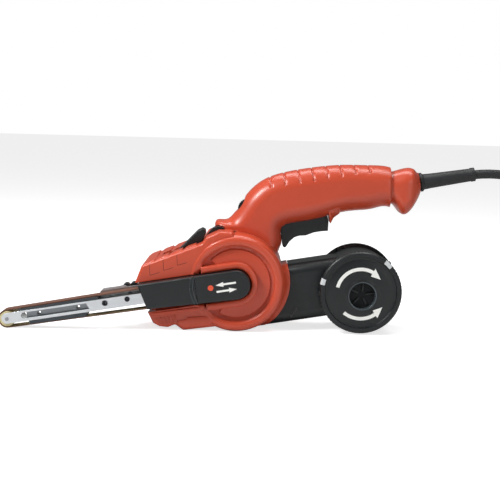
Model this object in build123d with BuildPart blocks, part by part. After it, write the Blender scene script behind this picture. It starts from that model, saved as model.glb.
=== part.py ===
from build123d import *
from math import asin, cos, degrees, hypot, pi, radians, sin, tan
import os

os.makedirs("parts", exist_ok=True)

# A finger belt sander: a narrow abrasive belt runs round a drive roller on the motor shaft
# and a nose roller at the end of a sliding arm.  Each piece is drawn in the tool's own
# frame, in millimetres: the origin is on the motor axis in the handle's middle plane, +X
# runs along the arm towards the handle, +Y away from the belt side, +Z up.  At the end each
# piece is turned and lifted to the way the tool stands on a bench.

# ---------------------------------------------------------------- driving dimensions
# clearances
running = 0.05                  # radial, shaft in hole
free = 0.3                      # between faces of pieces that move past each other
fit = 0.02                      # radial, a piece pressed or screwed in place

# belt and rollers
belt_length = 451.0
belt_width = 13.0
belt_thickness = 0.9
belt_gap = 0.3                  # between belt and rollers
belt_y = -44.0                  # middle of the belt
drive_roller_radius = 9.3
nose_roller_radius = 6.7
nose_axle_radius = 1.6
roller_crown = 0.2
roller_width = 12.6

# arm
plate_thickness = 1.3
plate_gap = 0.5                 # from belt edge to arm plate
plate_top = 5.1
plate_low = -4.1
near_plate_tail_x = -46.0
far_plate_tail_x = -70.0
arm_travel = 8.0
guide_front_x = -181.4
guide_rear_x = -24.0
guide_half_thickness = 4.5

# housing
wall = 2.6
drum_radius = 42.0              # motor barrel
drum_near_y = -44.0
drum_far_y = 57.0
dish_radius = 33.0              # dished ring on the near face
dish_y = -40.0
channel_floor_y = -35.2
channel_half_height = 13.4
lip_width = 5.6                 # raised lip round the channel's closed end
lip_y = -46.5
front_body_far_y = 30.0
pad_pitch = 12.6
pad_proud = 1.0
pad_inset = 1.8                 # each pad ends this far inside the front grip's faces
groove_pitch = 12.5
groove_depth = 0.7
groove_low_z = 75.5

# belt cover and shroud
cover_y = -54.5
cover_wall = 1.5
cover_top = 12.9
cover_low = -12.2
cover_low_front = -9.2
cover_split_x = -34.0
cover_split_gap = 0.4
shroud_front_top_x = -83.0
shroud_front_low_x = -78.0

# tension lever
well_near_y = -26.0
well_far_y = -8.0
lever_pivot = (-49.0, 23.5)
lever_pin_radius = 1.5
lever_side_gap = 0.8
link_tab_x = -51.2              # face that the lever's finger pushes
link_thickness = 1.5
lever_finger_length = 7.5
lever_finger_angle = -125.0

# motor
shaft_radius = 4.0
rear_journal_radius = 3.0
front_bearing_radius = 11.0
front_bearing_width = 7.0
front_bearing_y = -32.5         # near face
rear_bearing_radius = 9.5
rear_bearing_width = 6.0
rear_bearing_y = 47.5
fan_radius = 31.0
fan_near_y = -22.5
fan_far_y = -15.0
armature_radius = 20.9
air_gap = 0.6
stator_radius = 36.0
stator_near_y = -8.0
stator_far_y = 30.0
coil_overhang = 5.0
commutator_radius = 11.5
commutator_near_y = 34.0
commutator_far_y = 44.0

# handle
handle_half_width = 19.0
boss_radius = 4.7
screw_radius = 1.5
screw_head_radius = 3.0
screw_length = 19.0
trigger_half_width = 8.0
trigger_pivot = (82.0, 46.6)
trigger_pin_radius = 1.5
plunger_x = 62.0
plunger_radius = 2.0
plunger_low = 44.6
switch_low = 53.0
switch_top = 73.0
dial_centre = (19.6, 58.6)
dial_radius = 9.6
dial_half_width = 4.0
dial_stub_radius = 2.0
scoop_centre = (-6.5, 81.5)
scoop_radius = 27.5

# tracking knob
knob_x = -92.0
knob_z = 4.0
knob_near_y = -31.5
knob_far_y = -23.0
knob_core_radius = 6.6
knob_lobe_radius = 3.2
knob_screw_radius = 2.0
bracket_thickness = 1.5

# dust unit
canister_x = 105.1
canister_radius = 34.0
canister_flange_radius = 36.8
canister_cap_radius = 35.4
canister_near_y = -44.0
canister_far_y = 14.0
canister_wall = 2.0
cap_depth = 9.0
port_radius = 12.3
duct_top = 7.5
duct_low = -43.0
duct_near_y = -30.0
duct_far_y = 12.0
duct_corner = 9.0
duct_wall = 2.0
spigot_step = 2.4               # the spigot is this much smaller than the duct
socket_radius = 47.0

# cord
cord_radius = 4.1
guard_z = 59.8
guard_root_x = 158.0
guard_flange_x = 174.0
guard_end_x = 222.8
guard_root_radius = 7.0
guard_end_radius = 5.7
cord_start_x = 212.0
cord_side_y = -1.25             # on the bench, after the tool is stood up
coil_near_y = -20.0             # middle of the coil's outer turn, nearest side
coil_x = 394.6
coil_mean_radius = 48.0
plug_boot_x = 342.0
plug_face_x = plug_boot_x - 52.0
plug_axis_z = 18.6
plug_radius = 18.4
plug_pin_radius = 2.4
plug_pin_length = 19.0
plug_pin_spacing = 19.0

# ---------------------------------------------------------------- worked-out places
nose_wrap = nose_roller_radius + belt_gap
drive_wrap = drive_roller_radius + belt_gap
half_loop = (belt_length - pi * (nose_wrap + drive_wrap + belt_thickness)) / 2
nose_x = -(half_loop - (drive_wrap - nose_wrap) ** 2 / (2 * half_loop))
nose_outside = nose_wrap + belt_thickness
belt_near_y = belt_y - belt_width / 2
belt_far_y = belt_y + belt_width / 2
near_plate_y = belt_near_y - plate_gap          # inner face of the near plate
far_plate_y = belt_far_y + plate_gap            # inner face of the far plate

# The tool stands on the belt's nose, the motor barrel and the dust canister's flange.
tilt = asin((drum_radius - nose_outside) / -nose_x)
canister_z = (canister_flange_radius - drum_radius - canister_x * sin(tilt)) / cos(tilt)


# ---------------------------------------------------------------- shapes used again
def side_plane(y):
    """A drawing plane seen from the belt side, at that y; extrusions come towards the viewer."""
    return Plane.XZ.offset(-y)


def rod(radius, near_y, far_y, x=0.0, z=0.0):
    """A round bar along Y."""
    with BuildPart() as bar:
        with BuildSketch(side_plane(far_y)):
            with Locations((x, z)):
                Circle(radius)
        extrude(amount=far_y - near_y)
    return bar.part


def rod_x(radius, from_x, to_x, y, z):
    """A round bar along X."""
    with BuildPart() as bar:
        with BuildSketch(Plane.YZ.offset(from_x)):
            with Locations((y, z)):
                Circle(radius)
        extrude(amount=to_x - from_x)
    return bar.part


def prism(points, near_y, far_y):
    """A closed outline in the XZ plane, as thick as near_y to far_y."""
    with BuildPart() as body:
        with BuildSketch(side_plane(far_y)):
            with BuildLine():
                Polyline(*points, close=True)
            make_face()
        extrude(amount=far_y - near_y)
    return body.part


def block(low, high):
    """A box between two corners."""
    size = [high[i] - low[i] for i in range(3)]
    middle = [(high[i] + low[i]) / 2 for i in range(3)]
    with BuildPart() as body:
        with Locations(tuple(middle)):
            Box(*size)
    return body.part


def turned(profile, x=0.0, z=0.0):
    """A ring turned about a line along Y through (x, z); profile lists (radius, y) corners."""
    with BuildPart() as ring:
        with BuildSketch(Plane.XY.offset(z)):
            with Locations((x, 0)):
                with BuildLine():
                    Polyline(*[(x + radius, y) for radius, y in profile], close=True)
                make_face()
        revolve(axis=Axis((x, 0, z), (0, 1, 0)))
    return ring.part


def belt_loop(grow, near_y, far_y):
    """Everything inside the belt's inner face, larger all round by grow."""
    with BuildPart() as loop:
        with BuildSketch(side_plane(far_y)):
            with BuildLine():
                CenterArc((0, 0), drive_wrap + grow, 0, 360)
                CenterArc((nose_x, 0), nose_wrap + grow, 0, 360)
            make_hull()
        extrude(amount=far_y - near_y)
    return loop.part


def coil_spring(radius, wire, length, turns, start, direction):
    """A round wire helix from start, closed enough to stand between two faces."""
    with BuildPart() as spring:
        with BuildLine():
            path = Helix(length / turns, length, radius, center=start, direction=direction)
        with BuildSketch(Plane(origin=path @ 0, z_dir=path % 0)):
            Circle(wire / 2)
        sweep(path=path)
    return spring.part


# ---------------------------------------------------------------- housing, outside
# Handle sections: (inner x, z), (outer x, z), half width, corner radius.
handle_sections = [
    ((38.0, 8.0), (-10.0, 26.0), 17.0, 12.0),
    ((44.5, 25.0), (-1.0, 52.5), 18.5, 14.0),
    ((45.5, 36.0), (17.5, 69.5), handle_half_width, 15.0),
    ((51.0, 40.4), (35.0, 81.8), handle_half_width, 15.0),
    ((64.0, 41.0), (57.0, 86.4), handle_half_width, 15.0),
    ((80.0, 41.6), (79.0, 86.9), handle_half_width, 15.0),
    ((96.0, 43.8), (98.0, 86.2), handle_half_width, 15.0),
    ((112.0, 44.0), (114.5, 84.3), handle_half_width - 0.2, 15.0),
    ((128.0, 43.2), (131.0, 81.5), handle_half_width - 0.4, 15.0),
    ((143.5, 42.3), (149.0, 77.2), handle_half_width - 0.6, 14.5),
]
flare_sections = [
    ((139.0, 45.0), (147.0, 74.5), 16.5, 12.0),
    ((150.5, 38.5), (156.5, 73.4), 18.2, 13.0),
    ((155.0, 34.2), (164.0, 74.0), 18.8, 13.0),
    ((165.5, 41.0), (170.0, 72.0), 16.0, 12.0),
    ((172.6, 51.2), (173.2, 68.6), 8.6, 8.0),
]


def lofted(sections, inset=0.0):
    """A body through rounded sections, each square to the line between its two points."""
    with BuildPart() as body:
        for (ix, iz), (ox, oz), half_width, corner in sections:
            height = hypot(ox - ix, oz - iz)
            up = Vector((ox - ix) / height, 0, (oz - iz) / height)
            middle = ((ix + ox) / 2, 0, (iz + oz) / 2)
            with BuildSketch(Plane(origin=middle, x_dir=up, z_dir=up.cross(Vector(0, 1, 0)))):
                RectangleRounded(height - 2 * inset, 2 * (half_width - inset), corner - inset)
        loft()
    return body.part


# Outline of the body in front of the motor: upper grip, lower jaw and chin.
grip_front = (-78.0, 27.4)
grip_back = (-24.0, 38.6)
front_outline = [
    (-86.2, channel_half_height), grip_front, grip_back, (-19.6, 43.4), (-8.0, 46.6),
    (4.0, 44.0), (10.0, 0.0), (0.0, -38.0), (-24.0, -34.6), (-51.5, -33.6),
    (-57.6, -27.6), (-64.0, -29.2), (-71.0, -27.4), (-76.2, -23.6),
    (-79.4, -channel_half_height),
]


def front_body(inset=0.0):
    """The body in front of the motor, or with an inset the hollow inside it."""
    near = (dish_y if inset else drum_near_y + 1.0) + inset
    far = front_body_far_y - inset
    with BuildPart() as body:
        with BuildSketch(side_plane(far)) as outline:
            with BuildLine():
                Polyline(*front_outline, close=True)
            make_face()
            if inset:
                offset(amount=-inset, kind=Kind.INTERSECTION, mode=Mode.REPLACE)
            else:
                fillet(outline.vertices(), 2.6)
        extrude(amount=far - near)
        if not inset:
            fillet(body.faces().filter_by(Axis.Y).edges(), 2.4)
    return body.part


def barrel(inset=0.0):
    """The round motor housing, or with an inset the hollow inside it."""
    near = (dish_y if inset else drum_near_y) + inset
    far = drum_far_y - inset
    with BuildPart() as body:
        add(rod(drum_radius - inset, near, far))
        if not inset:
            rims = body.edges().filter_by(GeomType.CIRCLE).sort_by(Axis.Y)
            fillet(rims[0], 5.0)
            rims = body.edges().filter_by(GeomType.CIRCLE).sort_by(Axis.Y)
            fillet(rims[-1], 8.0)
    return body.part


def duct_bar(grow, from_x, to_x):
    """The dust duct's rounded rectangle along X, larger all round by grow."""
    with BuildPart() as bar:
        with BuildSketch(Plane.YZ.offset(from_x)):
            with Locations(((duct_far_y + duct_near_y) / 2, (duct_top + duct_low) / 2)):
                width = duct_far_y - duct_near_y + 2 * grow
                height = duct_top - duct_low + 2 * grow
                RectangleRounded(width, height, duct_corner + grow)
        extrude(amount=to_x - from_x)
    return bar.part


def grip_pad(index):
    """One raised step of the front grip, over its top and down its sides."""
    run = hypot(grip_back[0] - grip_front[0], grip_back[1] - grip_front[1])
    along = Vector((grip_back[0] - grip_front[0]) / run, 0, (grip_back[1] - grip_front[1]) / run)
    across = Vector(-along.Z, 0, along.X)
    start = Vector(grip_front[0], 0, grip_front[1]) + along * (1.5 + index * pad_pitch)
    depth = 9.0 + index * 0.8
    corners = [
        start - across * depth,
        start + across * pad_proud * 0.2,
        start + along * 3.0 + across * pad_proud,
        start + along * (pad_pitch - 2.0) + across * pad_proud,
        start + along * (pad_pitch - 1.4) - across * depth,
    ]
    points = [(corner.X, corner.Z) for corner in corners]
    return prism(points, drum_near_y + 1.0 + pad_inset, front_body_far_y - pad_inset)


case_screws = [                 # x, z, far face y, depth of the head's seat
    (122.0, 70.5, 19.0, 5.0),
    (104.0, 53.0, 19.0, 5.0),
    (160.0, 47.0, 17.0, 5.0),
    (4.0, 50.5, 19.0, 5.0),
    (-68.0, 20.6, 30.0, 16.0),
    (-68.0, -20.4, 30.0, 16.0),
    (-38.0, -26.0, 30.0, 16.0),
]
switch_front_x = 50.0
switch_rear_x = 80.0
lever_catch_points = [
    (-20.4, 39.0), (-19.2, 43.6), (-15.9, 46.8), (-12.9, 48.6), (-8.1, 49.2), (-4.2, 47.6),
    (-4.2, 43.0),
]
catch_near_y = -22.0
catch_far_y = -10.0
guide_foot_x = -58.0
guide_screw_xs = (-50.0, -34.0)
holder_outer_x = 39.0
clamp_screw_radius = 1.4
clamp_screw_places = [(139.5, -10.5), (139.5, 10.5)]
knob_room_x = knob_x + knob_core_radius + knob_lobe_radius + arm_travel + 1.5
link_slot_near_y = far_plate_y - free
link_slot_far_y = far_plate_y + plate_thickness + bracket_thickness + free

with BuildPart() as outer:
    add(barrel())
    add(lofted(handle_sections))
    add(lofted(flare_sections))
    add(front_body())
    for pad in range(4):
        add(grip_pad(pad))
    # collar that the dust duct plugs into, and the lip behind the trigger
    collar = duct_bar(free, 8.0, socket_radius + 5)
    add(rod(socket_radius, duct_near_y - 5, duct_far_y + 5) & collar)
    add(prism([(89.3, 36.6), (92.6, 41.2), (98.5, 44.4), (98.5, 50), (89.3, 50)], -15, 15))

with BuildPart() as hollow:
    add(barrel(wall))
    add(lofted(handle_sections[:2], wall + 3))
    add(lofted(handle_sections[1:], wall))
    add(front_body(wall))
    # left standing: round the lever well, behind the channel, at bearings and screws
    well_keep = block((-65, well_near_y - wall, 16.5), (-14, well_far_y + wall, 60))
    add(well_keep - rod(stator_radius, -60, 60), mode=Mode.SUBTRACT)
    channel_keep = block((-95, channel_floor_y - 9, -17), (17, channel_floor_y + wall, 17))
    add(channel_keep, mode=Mode.SUBTRACT)
    front_seat_far_y = front_bearing_y + front_bearing_width
    add(rod(front_bearing_radius + wall, channel_floor_y, front_seat_far_y), mode=Mode.SUBTRACT)
    add(rod(rear_bearing_radius + wall, rear_bearing_y, drum_far_y), mode=Mode.SUBTRACT)
    for boss_x, boss_z, _, _ in case_screws:
        add(rod(boss_radius, -60, 60, boss_x, boss_z), mode=Mode.SUBTRACT)
    # four ribs of the far half hold the stator
    with BuildSketch(side_plane(stator_far_y - 2)):
        with PolarLocations((stator_radius + drum_radius) / 2, 4, start_angle=45):
            Rectangle(drum_radius - stator_radius, 5)
        Circle(stator_radius + fit, mode=Mode.SUBTRACT)
    extrude(amount=stator_far_y - 2, mode=Mode.SUBTRACT)
    # posts for the trigger pin, speed wheel, switch and cord clamp, and the spring's rest
    for side in (-1, 1):
        pin_ends = sorted((side * (trigger_half_width + 0.5), side * 18))
        add(rod(3.6, *pin_ends, *trigger_pivot), mode=Mode.SUBTRACT)
        wheel_ends = sorted((side * (dial_half_width + 0.7), side * 18))
        add(rod(4.5, *wheel_ends, *dial_centre), mode=Mode.SUBTRACT)
        rib_ends = sorted((side * (9 + fit), side * 18))
        for rib_x in (switch_front_x + 6, switch_rear_x - 6):
            rib = block((rib_x - 1.5, rib_ends[0], switch_low), (rib_x + 1.5, rib_ends[1], switch_top))
            add(rib, mode=Mode.SUBTRACT)
        post_ends = sorted((side * 6, side * 18))
        add(block((136, post_ends[0], 49), (143, post_ends[1], guard_z - cord_radius)), mode=Mode.SUBTRACT)
    add(block((-31, -33, 3), (-28, fan_near_y - 1.5, 16)), mode=Mode.SUBTRACT)
    # seats for the brush holders
    for low_x, high_x in ((-42, -30), (30, 42)):
        add(block((low_x, commutator_near_y, -6.5), (high_x, commutator_far_y, 6.5)), mode=Mode.SUBTRACT)

# Grip grooves over the handle's back: thin slices outside a slightly smaller handle.
with BuildPart() as grooves:
    for index in range(8):
        groove_x = 42 + index * groove_pitch
        add(block((groove_x, -30, groove_low_z), (groove_x + 1.6, 30, 95)))
    add(lofted(handle_sections, groove_depth), mode=Mode.SUBTRACT)

with BuildPart() as case:
    add(outer.part)
    add(hollow.part, mode=Mode.SUBTRACT)
    # near face: dished ring, then the raised lip round the channel's closed end
    add(rod(dish_radius, drum_near_y - 1, dish_y), mode=Mode.SUBTRACT)
    with BuildSketch(side_plane(dish_y + 0.5)):
        with Locations((-14, 0)):
            Rectangle(28, 2 * (channel_half_height + lip_width))
        Circle(channel_half_height + lip_width)
    extrude(amount=dish_y + 0.5 - lip_y)
    # belt channel
    with BuildSketch(side_plane(channel_floor_y)):
        with Locations((-60, 0)):
            Rectangle(120, 2 * channel_half_height)
        Circle(channel_half_height)
    extrude(amount=30, mode=Mode.SUBTRACT)
    # room beside the front faces for the tracking knob, and for the link to the lever
    add(block((-95, link_slot_near_y, -14), (knob_room_x, 60, 14.5)), mode=Mode.SUBTRACT)
    add(block((-90, link_slot_near_y, -6), (-36, link_slot_far_y, 12.8)), mode=Mode.SUBTRACT)
    tab_room = block((link_tab_x - 2, link_slot_near_y, 4), (-36, -12, 14.6))
    add(tab_room, mode=Mode.SUBTRACT)
    add(block((-57, -21, 13), (-36, -12, 23)), mode=Mode.SUBTRACT)
    # shaft hole and bearing seats
    add(rod(shaft_radius + 1.5, channel_floor_y - 1, front_bearing_y + 1), mode=Mode.SUBTRACT)
    add(rod(front_bearing_radius, front_bearing_y, front_seat_far_y + 0.1), mode=Mode.SUBTRACT)
    rear_seat_far_y = rear_bearing_y + rear_bearing_width
    add(rod(rear_bearing_radius, rear_bearing_y - 1, rear_seat_far_y), mode=Mode.SUBTRACT)
    for low_x, high_x in ((-holder_outer_x, -13), (13, holder_outer_x)):
        holder_room = block((low_x, commutator_near_y + 1, -4.5), (high_x, commutator_far_y - 1, 4.5))
        add(holder_room, mode=Mode.SUBTRACT)
    for screw_x in guide_screw_xs:
        add(rod(screw_radius, channel_floor_y - 1, channel_floor_y + 2, screw_x, 0.5), mode=Mode.SUBTRACT)
    # lever well, its pin and its catch
    well = [(-57, 18.5), (-40, 18.5), (-30, 27), (-21.6, 36), (-21.6, 60), (-60.5, 60), (-60.5, 24)]
    add(prism(well, well_near_y, well_far_y), mode=Mode.SUBTRACT)
    add(rod(lever_pin_radius, well_near_y - 2, well_far_y + 2, *lever_pivot), mode=Mode.SUBTRACT)
    add(prism(lever_catch_points, catch_near_y, catch_far_y), mode=Mode.SUBTRACT)
    # trigger slot and pin
    slot_outline = [(41.4, 10), (41.4, 47.5), (55, 50), (88.9, 51.6), (88.9, 30), (60, 5)]
    slot_half = trigger_half_width + 0.4
    add(prism(slot_outline, -slot_half, slot_half) - rod(drum_radius + 1, -20, 20), mode=Mode.SUBTRACT)
    add(rod(trigger_pin_radius, -12.5, 12.5, *trigger_pivot), mode=Mode.SUBTRACT)
    # thumb scoop, speed wheel slot and spindle holes
    add(rod(scoop_radius, -40, 40, *scoop_centre), mode=Mode.SUBTRACT)
    dial_room_half = dial_half_width + 0.6
    add(rod(dial_radius + 0.8, -dial_room_half, dial_room_half, *dial_centre), mode=Mode.SUBTRACT)
    add(rod(dial_stub_radius + running, -10.5, 10.5, *dial_centre), mode=Mode.SUBTRACT)
    # socket bore for the dust duct's spigot, and the port through the barrel
    bore = duct_bar(free - spigot_step, 20.0, 60.0) - rod(drum_radius + 0.2, -60, 80)
    add(bore, mode=Mode.SUBTRACT)
    add(block((20, duct_near_y + 10, -32), (60, duct_far_y - 10, -4)), mode=Mode.SUBTRACT)
    # cord guard's seat in the handle's end, and the cord's way in
    add(rod_x(cord_radius + free, 138, 150, 0, guard_z), mode=Mode.SUBTRACT)
    add(rod_x(guard_root_radius + fit, 146, 176, 0, guard_z), mode=Mode.SUBTRACT)
    with BuildSketch(Plane.XY.offset(50)):
        with Locations(*clamp_screw_places):
            Circle(clamp_screw_radius)
    extrude(amount=10, mode=Mode.SUBTRACT)
    # cooling slots in the far face
    with BuildSketch(side_plane(drum_far_y + 1)):
        with PolarLocations(26, 14):
            SlotOverall(13, 3.2)
    extrude(amount=wall + 2, mode=Mode.SUBTRACT)
    # case screws come in from the far side
    for boss_x, boss_z, face_y, sink in case_screws:
        add(rod(screw_radius, face_y - sink - screw_length, face_y, boss_x, boss_z), mode=Mode.SUBTRACT)
        add(rod(screw_head_radius + 0.4, face_y - sink, face_y + 9, boss_x, boss_z), mode=Mode.SUBTRACT)
    add(grooves.part, mode=Mode.SUBTRACT)

with BuildPart() as housing_left:
    add(case.part)
    split(bisect_by=Plane.XZ, keep=Keep.TOP)
with BuildPart() as housing_right:
    add(case.part)
    split(bisect_by=Plane.XZ, keep=Keep.BOTTOM)

# ---------------------------------------------------------------- belt covers
# Both covers are cut from one shallow shell, open towards the belt.
with BuildPart() as cover_shell:
    with BuildSketch(side_plane(channel_floor_y)):
        with BuildLine():
            Polyline(
                (shroud_front_top_x, cover_top), (0, cover_top), (0, cover_low),
                (shroud_front_low_x, cover_low_front), close=True,
            )
        make_face()
        with Locations((0, (cover_top + cover_low) / 2)):
            Circle((cover_top - cover_low) / 2)
    extrude(amount=channel_floor_y - cover_y)
    fillet(cover_shell.faces().sort_by(Axis.Y)[0].edges(), 1.6)
    with BuildSketch(side_plane(channel_floor_y + 1)):
        add(cover_shell.faces().sort_by(Axis.Y)[-1])
        offset(amount=-cover_wall, mode=Mode.REPLACE)
    extrude(amount=channel_floor_y + 1 - cover_y - cover_wall, mode=Mode.SUBTRACT)
    add(belt_loop(belt_thickness + 0.7, belt_near_y - 0.8, 0), mode=Mode.SUBTRACT)
    arm_gap_y = near_plate_y - plate_thickness - free
    add(block((-120, arm_gap_y, -20), (-60, 0, 5.6)), mode=Mode.SUBTRACT)
    # the bracket and the link slide past the front wall's far edge
    bracket_room = block((-120, link_slot_near_y, 0), (-60, 0, cover_top - cover_wall - 0.2))
    add(bracket_room, mode=Mode.SUBTRACT)
with BuildPart() as front_shroud:
    add(cover_shell.part)
    add(block((cover_split_x - cover_split_gap, -60, -20), (60, 0, 20)), mode=Mode.SUBTRACT)
with BuildPart() as drive_cover:
    add(cover_shell.part)
    add(block((-120, -60, -20), (cover_split_x, 0, 20)), mode=Mode.SUBTRACT)

# ---------------------------------------------------------------- belt, rollers and arm
with BuildPart() as belt:
    add(belt_loop(belt_thickness, belt_near_y, belt_far_y))
    add(belt_loop(0, belt_near_y - 1, belt_far_y + 1), mode=Mode.SUBTRACT)


def roller(radius, bore, x):
    """A slightly barrel-shaped belt roller."""
    half = roller_width / 2
    profile = [
        (bore, belt_y - half), (radius - roller_crown, belt_y - half), (radius, belt_y - half / 3),
        (radius, belt_y + half / 3), (radius - roller_crown, belt_y + half), (bore, belt_y + half),
    ]
    return turned(profile, x)


with BuildPart() as drive_roller:
    add(roller(drive_roller_radius, shaft_radius, 0))
with BuildPart() as nose_roller:
    add(roller(nose_roller_radius, nose_axle_radius + running, nose_x))

near_plate_outer_y = near_plate_y - plate_thickness
far_plate_outer_y = far_plate_y + plate_thickness
plate_middle = (plate_top + plate_low) / 2
plate_height = plate_top - plate_low
slot_low, slot_high = -1.7, 3.5
slot_front_x, slot_rear_x = -185.3, -126.8
window_xs = (-170.6, -136.7)
arm_hole_x, arm_hole_radius = -112.9, 2.5
guide_pin_x, guide_pin_radius = -93.5, 2.25
guide_low, guide_high = plate_low + 0.4, plate_top - 0.4


def arm_plate(tail_x, near_y, far_y):
    """One side plate of the arm: round nose, long slot, one round hole."""
    slot_middle = (slot_low + slot_high) / 2
    slot_radius = (slot_high - slot_low) / 2
    with BuildPart() as plate:
        with BuildSketch(side_plane(far_y)):
            with Locations(((tail_x + nose_x) / 2, plate_middle)):
                Rectangle(tail_x - nose_x, plate_height)
            with Locations((nose_x, plate_middle)):
                Circle(plate_height / 2)
            with Locations((nose_x, 0)):
                Circle(nose_axle_radius, mode=Mode.SUBTRACT)
            with Locations((arm_hole_x, 1.4)):
                Circle(arm_hole_radius, mode=Mode.SUBTRACT)
            with Locations((slot_front_x + slot_radius, slot_middle)):
                Circle(slot_radius, mode=Mode.SUBTRACT)
            with BuildLine():
                Polyline(
                    (slot_front_x + slot_radius, slot_low), (slot_rear_x, slot_low),
                    (slot_rear_x - 2, slot_high), (slot_front_x + slot_radius, slot_high), close=True,
                )
            make_face(mode=Mode.SUBTRACT)
        extrude(amount=far_y - near_y)
    return plate.part


with BuildPart() as arm_plate_near:
    add(arm_plate(near_plate_tail_x, near_plate_outer_y, near_plate_y))
    add(rod(guide_pin_radius, near_plate_outer_y - 1, 0, guide_pin_x, 2.0), mode=Mode.SUBTRACT)
with BuildPart() as arm_plate_far:
    add(arm_plate(far_plate_tail_x, far_plate_y, far_plate_outer_y))
    add(rod(knob_screw_radius + running, -60, 0, knob_x, knob_z), mode=Mode.SUBTRACT)
with BuildPart() as nose_axle:
    add(rod(nose_axle_radius, near_plate_outer_y - 0.5, far_plate_outer_y + 0.5, nose_x))
with BuildPart() as guide_pin:
    add(rod(guide_pin_radius, near_plate_outer_y - 0.4, belt_y + 2, guide_pin_x, 2.0))


def belt_inside(x):
    """Height of the belt's upper inner face above the arm's axis."""
    return drive_wrap + (nose_wrap - drive_wrap) * x / nose_x


def platen(from_x, to_x, side):
    """A backing strip under the belt's run; side is 1 above the arm and -1 below it."""
    seat = plate_top if side > 0 else plate_low
    outline = [
        (from_x, seat), (from_x, side * (belt_inside(from_x) - free)),
        (to_x, side * (belt_inside(to_x) - free)), (to_x, seat),
    ]
    return prism(outline, near_plate_outer_y, far_plate_outer_y)


with BuildPart() as upper_platen:
    add(platen(-186.0, -118.0, 1))
with BuildPart() as lower_platen:
    add(platen(-179.5, -130.2, -1))

with BuildPart() as guide_bar:
    guide_near_y = belt_y - guide_half_thickness
    guide_far_y = belt_y + guide_half_thickness
    add(block((guide_front_x, guide_near_y, guide_low), (guide_rear_x, guide_far_y, guide_high)))
    add(block((guide_foot_x, guide_far_y, guide_low), (guide_rear_x, channel_floor_y, guide_high)))
    for window_x in window_xs:
        window = block((window_x - 1.6, -60, -0.6), (window_x + 1.6, 0, 2.2))
        add(window, mode=Mode.SUBTRACT)
    add(rod(arm_hole_radius + 0.5, -60, 0, arm_hole_x, 1.4), mode=Mode.SUBTRACT)
    add(rod(arm_hole_radius + 0.5, -60, 0, arm_hole_x + arm_travel, 1.4), mode=Mode.SUBTRACT)
    pin_room = guide_pin_radius + free
    pin_slot_low = (guide_pin_x - pin_room, -60, 2.0 - pin_room)
    pin_slot_high = (guide_pin_x + arm_travel + pin_room, belt_y + 3, 2.0 + pin_room)
    add(block(pin_slot_low, pin_slot_high), mode=Mode.SUBTRACT)
    for screw_x in guide_screw_xs:
        add(rod(screw_radius, -60, 0, screw_x, 0.5), mode=Mode.SUBTRACT)
        add(rod(2.8, -60, guide_near_y + 2, screw_x, 0.5), mode=Mode.SUBTRACT)
with BuildPart() as guide_screws:
    for screw_x in guide_screw_xs:
        add(rod(screw_radius, guide_near_y, channel_floor_y + 2, screw_x, 0.5))
        add(rod(2.8, guide_near_y, guide_near_y + 2, screw_x, 0.5))

bracket_near_y = far_plate_outer_y
bracket_far_y = far_plate_outer_y + bracket_thickness
link_front_x = -84.0
with BuildPart() as tracking_bracket:
    bracket_rear_x = link_front_x - 0.5
    add(prism([
        (-118, -3), (-118, 9.5), (-114.5, 12), (-96, 12), (-93.5, 10.4), (bracket_rear_x, 10.4),
        (bracket_rear_x, -3),
    ], bracket_near_y, bracket_far_y))
    add(rod(knob_screw_radius + running, -60, 0, knob_x, knob_z), mode=Mode.SUBTRACT)
with BuildPart() as lever_link:
    tab_rear_x = link_tab_x + link_thickness
    link_step_x = guide_foot_x - arm_travel - 0.5
    add(block((link_front_x, bracket_near_y, -3), (link_step_x, bracket_far_y, 10.4)))
    add(block((link_step_x - 1, bracket_near_y, 5.4), (tab_rear_x, bracket_far_y, 10.4)))
    add(block((link_tab_x, channel_floor_y + free, 5.4), (tab_rear_x, -14, 13)))
    add(block((link_tab_x, -20, 5.4), (tab_rear_x, -14, 17.4)))

with BuildPart() as tracking_knob:
    with BuildSketch(side_plane(knob_far_y)):
        with Locations((knob_x, knob_z)):
            Circle(knob_core_radius)
            with PolarLocations(knob_core_radius, 6):
                Circle(knob_lobe_radius)
    extrude(amount=knob_far_y - knob_near_y)
    fillet(tracking_knob.faces().filter_by(Axis.Y).edges(), 0.6)
    add(rod(knob_screw_radius, knob_near_y - 1, knob_far_y - 2, knob_x, knob_z), mode=Mode.SUBTRACT)
with BuildPart() as tracking_screw:
    add(rod(knob_screw_radius, far_plate_y, knob_far_y - 2, knob_x, knob_z))

# ---------------------------------------------------------------- tension lever
lever_near_y = well_near_y + lever_side_gap
lever_far_y = well_far_y - lever_side_gap
with BuildPart() as tension_lever:
    with BuildSketch(side_plane(lever_far_y)) as lever_outline:
        with BuildLine():
            Polyline(
                (-53.0, 25.0), (-51.5, 29.8), (-46.0, 34.2), (-27.0, 48.3), (-22.6, 49.6),
                (-20.2, 47.8), (-20.3, 44.6), (-24.0, 39.0), (-31.0, 31.0), (-38.5, 24.6),
                (-45.0, 20.8), (-50.0, 19.6), close=True,
            )
        make_face()
        fillet(lever_outline.vertices(), 1.0)
    extrude(amount=lever_far_y - lever_near_y)
    fillet(tension_lever.faces().filter_by(Axis.Y).edges(), 0.8)
    finger_tip = (
        lever_pivot[0] + lever_finger_length * cos(radians(lever_finger_angle)),
        lever_pivot[1] + lever_finger_length * sin(radians(lever_finger_angle)),
    )
    with BuildSketch(side_plane(-14)):
        with Locations(lever_pivot, finger_tip):
            Circle(1.5)
        make_hull()
    extrude(amount=6)
    add(rod(lever_pin_radius + running, -60, 60, *lever_pivot), mode=Mode.SUBTRACT)
with BuildPart() as lever_pin:
    add(rod(lever_pin_radius, well_near_y - 2, well_far_y + 2, *lever_pivot))
with BuildPart() as lever_catch:
    add(prism(lever_catch_points, catch_near_y, catch_far_y))
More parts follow.
